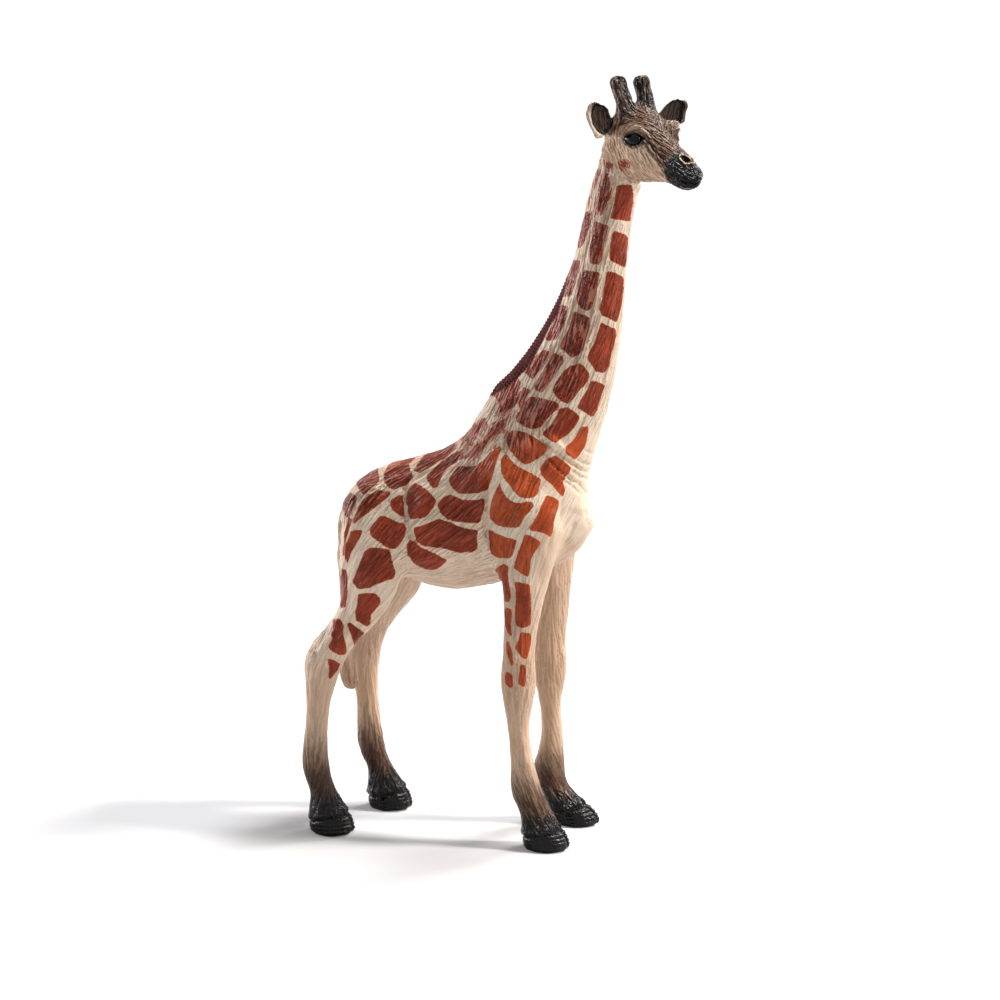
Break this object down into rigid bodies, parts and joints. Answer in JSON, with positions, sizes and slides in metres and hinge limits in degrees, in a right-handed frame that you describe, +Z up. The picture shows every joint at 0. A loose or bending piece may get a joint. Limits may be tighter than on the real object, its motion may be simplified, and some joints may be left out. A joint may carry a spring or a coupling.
{
  "type": "toy giraffe",
  "caption": "Standing toy giraffe of glued moulded pieces, its head turned to its right, resting on flat cloven hooves.",
  "frame": {"origin": "On the ground, under the middle of the figure's bounding box", "axes": "+X to the animal's front, +Y to its left, +Z up"},
  "size_m": [0.0858, 0.031, 0.16],
  "materials": {
    "coat": "satin painted PVC, cream with red-brown patches, combed hair relief, hooves gloss black",
    "face": "satin painted PVC, cream cheeks, dark brown face and black muzzle, gloss black eyes",
    "horn": "satin painted PVC, dark brown to black with tan streaks",
    "tail": "satin painted PVC, tan with a darker tuft"
  },
  "bodies": {
    "root": {"torso": "coat", "neck": "coat", "head": "face", "ear_right": "horn", "ear_left": "horn", "ossicone_right": "horn", "ossicone_left": "horn", "foreleg_right": "coat", "foreleg_left": "coat", "hindleg_right": "coat", "hindleg_left": "coat", "tail": "tail"}
  },
  "joints": []
}
